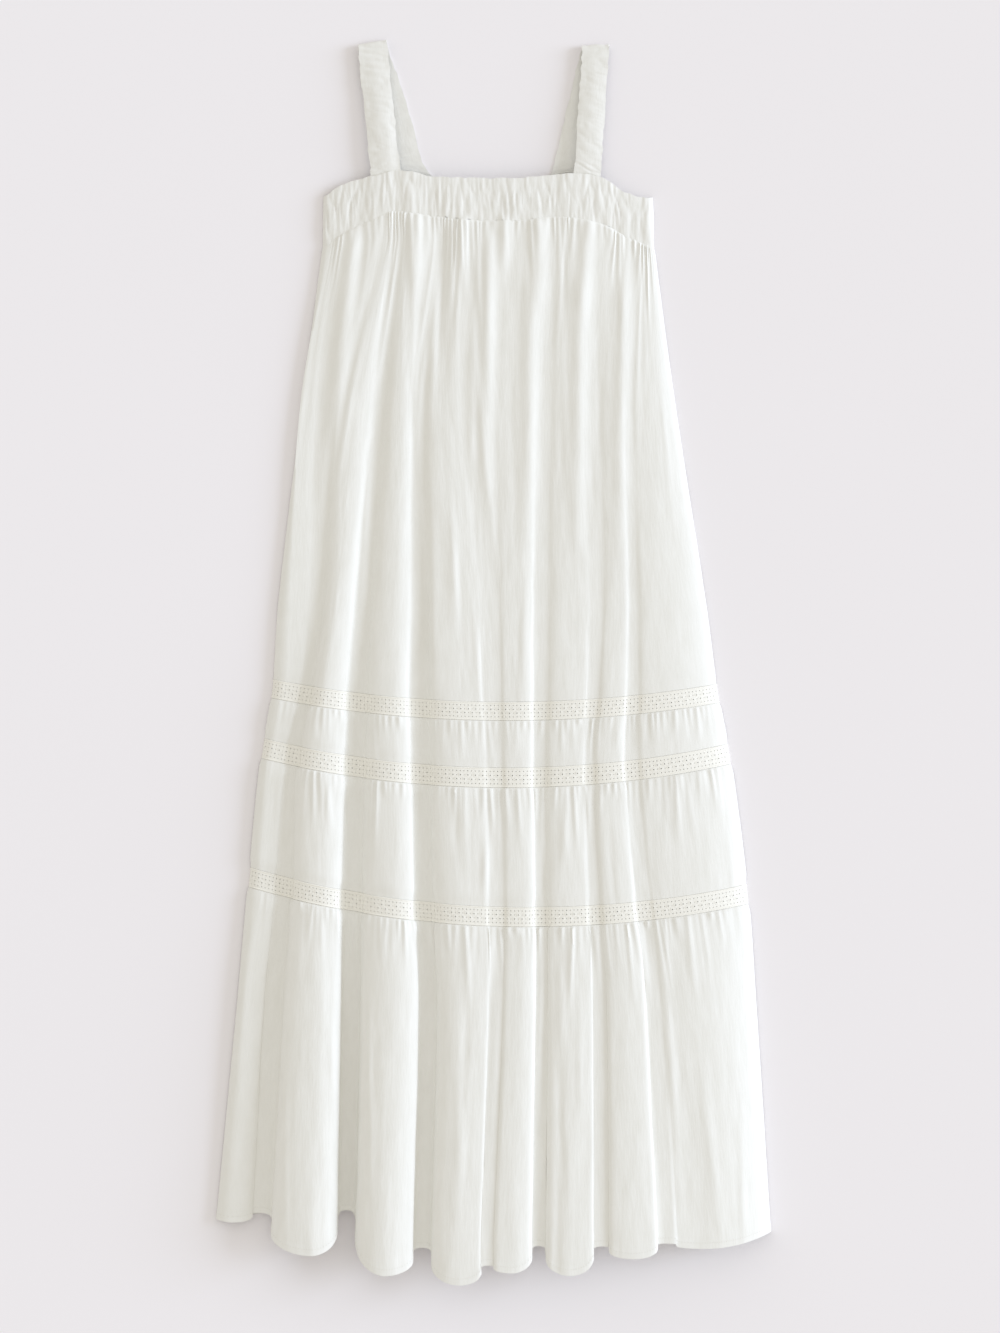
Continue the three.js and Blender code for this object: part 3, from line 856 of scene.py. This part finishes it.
def make_front_tier(piece, sizes, seed):
    """One tier of the front."""
    cloth = front_cloth(piece, *piece.grid, head=4, tail=3 if piece.foot == "hem" else 1)
    face = tier_face(piece, cloth, sizes, seed)
    wall = np.full(cloth.across.shape, sizes.cotton / MM)
    if piece.foot == "hem":
        turn = hem_turn(cloth, sizes)
        face = lifted(face, HEM_LIFT * turn)
        wall = wall + HEM_EXTRA * turn
    under = lifted(face, -wall)
    made = sheet_mesh(f"{piece.name}_front_cloth", cloth, face, under, finish_of("cotton"))
    return made, cloth, face


def back_relief(cloth, height, seed):
    """How far the back's cloth rises from the floor in small creases and crinkles."""
    long = np.abs(soft_noise(cloth.across / 16, cloth.down / 90, seed))
    fine = np.abs(soft_noise(cloth.across / 6, cloth.down / 30, seed + 1))
    return height * (1.2 * long + 0.7 * fine)


def make_back(piece, wall, height, material, seed):
    """A back piece on the floor, thin, with small creases."""
    cloth = back_cloth(piece, *piece.back_grid)
    under = cloth.point.copy()
    under[..., 2] += back_relief(cloth, height, seed)
    over = under.copy()
    over[..., 2] += wall
    return sheet_mesh(f"{piece.name}_back_cloth", cloth, over, under, material)


def make_band_front(sizes, seed):
    """The shirred front of the band."""
    cloth = front_cloth(BAND, *BAND.grid)
    relief = puckers(cloth.across, cloth.down, *BAND_PUCKER, seed) * sizes.pucker / MM
    share = cloth.down / cloth.down[-1]
    bulge = np.sin(np.pi * share) ** 0.7
    face = lifted(cloth.point, (relief - 0.4) * mix(0.5, 1, bulge) + 0.6 * bulge)
    edge = soft_noise(cloth.across / 7, cloth.down * 0, seed + 9)
    frill = soft_noise(cloth.across / 3.2, cloth.down * 0, seed + 10)
    face[..., 1] += 0.8 * edge * np.clip(3 * np.abs(share - 0.5) - 0.5, 0, 1)
    face[..., 1] += (2.0 * frill - BAND_LAP) * share**3
    under = lifted(face, -mix(sizes.shirring / MM, BAND_EDGE, share**8))
    return sheet_mesh("band_front_cloth", cloth, face, under, finish_of("shirring"))


def make_strap(strap, sizes):
    """A ruched strap that runs up, folds over and runs down behind itself."""
    columns, rows = STRAP_GRID
    front_at = curve(STRAP_STATIONS, strap.front)
    back_at = curve(STRAP_STATIONS, strap.back)
    faces = [line_face(i, STATIONS[-1]) for i in range(LAST + 1)]
    band_face_at = curve([line.across[-1] for line in LINES], faces)
    turn_at = strap.top - STRAP_FOLD
    start = neckline_at(strap.front[0]) - STRAP_TUCK
    finish = neckline_at(strap.back[0]) + STRAP_END_GAP
    rise, fold, fall = turn_at - start, np.pi * STRAP_FOLD, turn_at - finish
    along = np.linspace(0, rise + fold + fall, rows)[:, None]
    side = np.linspace(1, -1, columns)[None]
    up = np.clip(along / rise, 0, 1)
    angle = np.pi * np.clip((along - rise) / fold, 0, 1)
    down = np.clip((along - rise - fold) / fall, 0, 1)
    level = np.where(up < 1, mix(start, turn_at, up), mix(turn_at, finish, down))
    middle = np.where(down > 0, back_at(level), front_at(level))
    sewn = np.where(up < 1, 1 - up, down) ** 4
    across = (side + 1) * strap.width / 2 + 0 * along
    relief = puckers(along + 0.1 * strap.width * side, across, *STRAP_PUCKER, strap.seed)
    wave = soft_noise(along / 5.5 + 0 * side, 0 * (along + side) + (side > 0), strap.seed + 5)
    half = strap.width / 2 - 0.4 + 0.8 * wave * np.abs(side) ** 3
    x = middle + side * half
    y = mix(level + side * strap.lean, neckline_at(x) + np.where(up < 1, -STRAP_TUCK, STRAP_END_GAP), sewn)
    crown = STRAP_CROWN * np.sin(np.pi * up) * (1 - side**2)
    lift = (band_face_at(x) - 2 * STRAP_FOLD) * (1 - ease(up)) + crown
    z = STRAP_FOLD + BACK_LIFT + np.cos(angle) * STRAP_FOLD + lift - STRAP_SINK * (1 - up) ** 6
    point = np.stack([x, y + np.sin(angle) * STRAP_FOLD, z], -1)
    height = (relief - 0.3) * 0.7 * sizes.pucker / MM * mix(1, 0.7, side**2)
    normal = normals_of(point)
    # The layer behind lies on the floor, so its puckers go inwards.
    behind = ease(2 * angle / np.pi - 1)
    face = point + normal * mix(height, -0.7 * np.abs(height), behind)[..., None]
    under = point + normal * (mix(0.7, 0.5, behind) * height - sizes.shirring / MM)[..., None]
    under[..., 2] = np.where(down > 0, np.maximum(under[..., 2], face[..., 2] + 0.8), under[..., 2])
    cloth = Cloth(point, across, along + 0 * side)
    made = sheet_mesh(f"strap_{strap.name}_cloth", cloth, face, under, finish_of("shirring"))
    return made, rise + fold + fall


def eyelet_cell(left, right, top, foot, half_across, half_down):
    """A lace cell's rings of eight points, from its edge in to its eyelet, as (across, down, lift)."""
    middle, level = (left + right) / 2, (top + foot) / 2
    rings = [(left, top, 0), (left, level, 0), (left, foot, 0), (middle, foot, 0)]
    rings += [(right, foot, 0), (right, level, 0), (right, top, 0), (middle, top, 0)]
    for size, lift in ((1, EYELET_CORD), (EYELET_OPEN, 0)):
        for k in range(8):
            angle = math.radians(135 + 45 * k)
            across = middle + size * half_across * math.cos(angle)
            rings.append((across, level - size * half_down * math.sin(angle), lift))
    return rings


def lace_cells(width, depth, pitch):
    """The lace's flat points as (across, down, lift), and its faces: rows of eyelets between cords."""
    cells = max(int(round(width / pitch)), 1)
    pitch = width / cells
    tall = (depth - 2 * LACE_CORD) / LACE_ROWS
    points = []
    quads = []
    for row in range(LACE_ROWS):
        for column in range(cells):
            if row in (0, LACE_ROWS - 1):
                size = EYELETS["ladder"]
            else:
                size = EYELETS["flower" if (row + column) % 2 == 0 else "dot"]
            left, top = column * pitch, LACE_CORD + row * tall
            first = len(points)
            points += eyelet_cell(left, left + pitch, top, top + tall, size[0] * pitch, size[1] * tall)
            for ring in (0, 8):
                for k in range(8):
                    here, after = first + ring + k, first + ring + (k + 1) % 8
                    quads.append((here, after, after + 8, here + 8))
    profile = ((0, 0.05), (0.25, 0.55), (0.55, 0.7), (0.8, 0.45), (1, 0.0))
    for edge in (0, 1):
        for column in range(2 * cells):
            for (t0, lift0), (t1, lift1) in zip(profile, profile[1:]):
                first = len(points)
                down0, down1 = (t0 * LACE_CORD, t1 * LACE_CORD)
                if edge:
                    down0, down1, lift0, lift1 = depth - down1, depth - down0, lift1, lift0
                x0, x1 = column * pitch / 2, (column + 1) * pitch / 2
                points += [(x0, down0, lift0), (x0, down1, lift1), (x1, down1, lift1), (x1, down0, lift0)]
                quads.append((first, first + 1, first + 2, first + 3))
    return np.array(points), np.array(quads)


def joined(points, quads):
    """The same faces with the points that lie together made one."""
    keys = np.round(points[:, :2] / 0.02).astype(int)
    _, first, inverse = np.unique(keys, axis=0, return_index=True, return_inverse=True)
    return points[first], inverse.reshape(-1)[quads]


def make_lace(piece, side, sizes):
    """A lace insertion, open between its threads."""
    grid = piece.grid if side == "front" else piece.back_grid
    cloth = (front_cloth if side == "front" else back_cloth)(piece, *grid)
    width, depth = cloth.across[0, -1], LACES[piece.name].depth
    points, quads = joined(*lace_cells(width, depth, LACE_PITCH[side]))
    share_across, share_down = points[:, 0] / width, points[:, 1] / depth
    place = at_cloth(cloth, cloth.point, share_across, share_down)
    wall = sizes.lace / MM
    if side == "front":
        normal = at_cloth(cloth, normals_of(cloth.point), share_across, share_down)
        normal /= np.linalg.norm(normal, axis=1, keepdims=True)
        face = place + normal * (points[:, 2:] - 0.1)
        under = place - normal * wall
    else:
        under = place + np.array([0, 0, 0.1])
        face = under + np.array([0, 0, 1]) * (wall + points[:, 2:])
    return cloth_mesh(f"{piece.name}_{side}_cloth", face, under, quads, points[:, :2], finish_of("lace"))


def stitch_row(cloth, face, normal, count, down):
    """Points and faces of a row of short stitches across a face, at a share down it."""
    points = []
    quads = []
    for k in range(count):
        share = (np.array([0.15, 0.3, 0.6, 0.75]) + k) / count
        spine = at_cloth(cloth, face, share, np.full(4, down))
        up = at_cloth(cloth, normal, share, np.full(4, down))[1]
        run = spine[-1] - spine[0]
        run /= np.linalg.norm(run)
        out = np.cross(run, up)
        spine = spine + up * np.array([-STITCH_SINK, 0.12, 0.12, -STITCH_SINK])[:, None]
        first = len(points)
        for centre, thick in zip(spine, (0.06, 0.2, 0.2, 0.06)):
            for corner in range(6):
                angle = corner * np.pi / 3
                points.append(centre + (up * np.sin(angle) + out * np.cos(angle)) * thick)
        for ring in range(3):
            for corner in range(6):
                a = first + ring * 6 + corner
                b = first + ring * 6 + (corner + 1) % 6
                quads.append((a, a + 6, b + 6, b))
        for end in (0, 18):
            order = (0, 1, 2, 3) if end == 0 else (3, 2, 1, 0)
            quads.append(tuple(first + end + c for c in order))
            order = (0, 3, 4, 5) if end == 0 else (5, 4, 3, 0)
            quads.append(tuple(first + end + c for c in order))
    return np.array(points), np.array(quads)


# Operators


class DRESS_OT_stage(bpy.types.Operator):
    """Make the floor, the camera and the lights"""

    bl_idname = "dress.stage"
    bl_label = "Stage"

    def execute(self, context):
        """Adds a pale floor, a camera straight above, a soft sun from the right and an even sky."""
        mesh = bpy.data.meshes.new("floor")
        reach = FLOOR_REACH
        corners = [(-reach, -reach, 0), (reach, -reach, 0), (reach, reach, 0), (-reach, reach, 0)]
        mesh.from_pydata(corners, [], [(0, 1, 2, 3)])
        mesh.materials.append(floor_material())
        floor = bpy.data.objects.new("floor", mesh)
        context.scene.collection.objects.link(floor)

        lens = bpy.data.cameras.new("camera")
        lens.sensor_width = SENSOR
        lens.lens = SENSOR * CAMERA_PLACE[2] / PICTURE_HEIGHT
        lens.clip_end = 100
        camera = bpy.data.objects.new("camera", lens)
        camera.location = Vector(CAMERA_PLACE) * MM
        context.scene.collection.objects.link(camera)
        context.scene.camera = camera

        sun = bpy.data.lights.new("window", "SUN")
        sun.energy = SUN_STRENGTH
        sun.angle = SUN_SOFTNESS
        sun.color = SUN_COLOUR
        window = bpy.data.objects.new("window", sun)
        towards = Vector((math.cos(SUN_RISE), SUN_TURN, math.sin(SUN_RISE)))
        window.rotation_mode = "QUATERNION"
        window.rotation_quaternion = towards.to_track_quat("Z", "Y")
        context.scene.collection.objects.link(window)

        sky = bpy.data.worlds.new("room")
        sky.use_nodes = True
        light = sky.node_tree.nodes["Background"]
        light.inputs["Color"].default_value = ROOM_COLOUR
        light.inputs["Strength"].default_value = ROOM_STRENGTH
        context.scene.world = sky
        context.scene.view_settings.view_transform = "Standard"
        return {"FINISHED"}


class DRESS_OT_front(bpy.types.Operator):
    """Make the four tiers of the front, with the hem's stitches"""

    bl_idname = "dress.front"
    bl_label = "Front tiers"

    def execute(self, context):
        """Adds each tier in its solid's place."""
        sizes = context.scene.dress_sizes
        for number, piece in enumerate(TIERS):
            made, cloth, face = make_front_tier(piece, sizes, FRONT_SEED + SEED_STEP * number)
            if piece.foot == "hem":
                count = int(cloth.across[0, -1] / (sizes.stitch / MM))
                down = 1 - (sizes.hem / MM - STITCH_INSET) / cloth.down[-1].mean()
                points, quads = stitch_row(cloth, face, normals_of(face), count, down)
                stitches = link_mesh("hem_stitches", points, quads, points[:, :2], finish_of("thread"))
                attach(stitches, "root")
            seat(made, f"{piece.name}_front")
        return {"FINISHED"}


class DRESS_OT_back(bpy.types.Operator):
    """Make the back's tiers and the back of the band"""

    bl_idname = "dress.back"
    bl_label = "Back"

    def execute(self, context):
        """Adds each back piece in its solid's place."""
        sizes = context.scene.dress_sizes
        for number, piece in enumerate(TIERS):
            seed = BACK_SEED + SEED_STEP * number
            made = make_back(piece, sizes.cotton / MM, BACK_RELIEF, finish_of("cotton"), seed)
            seat(made, f"{piece.name}_back")
        wall = sizes.shirring / MM - BAND_BACK_THIN
        made = make_back(BAND, wall, BAND_BACK_RELIEF, finish_of("shirring"), BAND_BACK_SEED)
        seat(made, "band_back")
        return {"FINISHED"}


class DRESS_OT_band(bpy.types.Operator):
    """Make the shirred band's front"""

    bl_idname = "dress.band"
    bl_label = "Band"

    def execute(self, context):
        """Adds the band in its solid's place."""
        made = make_band_front(context.scene.dress_sizes, BAND_SEED)
        seat(made, "band_front")
        return {"FINISHED"}


class DRESS_OT_straps(bpy.types.Operator):
    """Make the two ruched straps"""

    bl_idname = "dress.straps"
    bl_label = "Straps"

    def execute(self, context):
        """Adds each strap in its solid's place."""
        for strap in STRAPS:
            made, length = make_strap(strap, context.scene.dress_sizes)
            seat(made, f"strap_{strap.name}")
        return {"FINISHED"}


class DRESS_OT_lace(bpy.types.Operator):
    """Make the lace insertions, front and back"""

    bl_idname = "dress.lace"
    bl_label = "Lace"

    def execute(self, context):
        """Adds each insertion in its solid's place."""
        for piece in LACE_PIECES:
            for side, cut in (("front", piece.cut), ("back", piece.back_cut)):
                made = make_lace(piece, side, context.scene.dress_sizes)
                seat(made, f"{piece.name}_{side}")
        return {"FINISHED"}


class DRESS_PT_pieces(bpy.types.Panel):
    """The dress's sizes, colours and pieces."""

    bl_idname = "DRESS_PT_pieces"
    bl_label = "Tiered maxi dress"
    bl_space_type = "VIEW_3D"
    bl_region_type = "UI"
    bl_category = "Dress"

    def draw(self, context):
        """Lists what can be changed and what can be made."""
        for group in (context.scene.dress_sizes, context.scene.dress_colours):
            for name in group.bl_rna.properties.keys():
                if name not in ("rna_type", "name"):
                    self.layout.prop(group, name)
        for operator in OPERATORS:
            self.layout.operator(operator.bl_idname)


OPERATORS = (DRESS_OT_stage, DRESS_OT_front, DRESS_OT_back, DRESS_OT_band, DRESS_OT_straps, DRESS_OT_lace)
CLASSES = (DressSizes, DressColours, *OPERATORS, DRESS_PT_pieces)


def register():
    """Adds the classes, and the sizes and colours to the scene."""
    for made in CLASSES:
        bpy.utils.register_class(made)
    bpy.types.Scene.dress_sizes = bpy.props.PointerProperty(type=DressSizes)
    bpy.types.Scene.dress_colours = bpy.props.PointerProperty(type=DressColours)


def unregister():
    """Takes them away again."""
    del bpy.types.Scene.dress_colours
    del bpy.types.Scene.dress_sizes
    for made in reversed(CLASSES):
        bpy.utils.unregister_class(made)


def main():
    """Makes the dress and its stage."""
    register()
    bpy.ops.dress.stage()
    bpy.ops.dress.front()
    bpy.ops.dress.back()
    bpy.ops.dress.band()
    bpy.ops.dress.straps()
    bpy.ops.dress.lace()


if __name__ == "__main__":
    main()
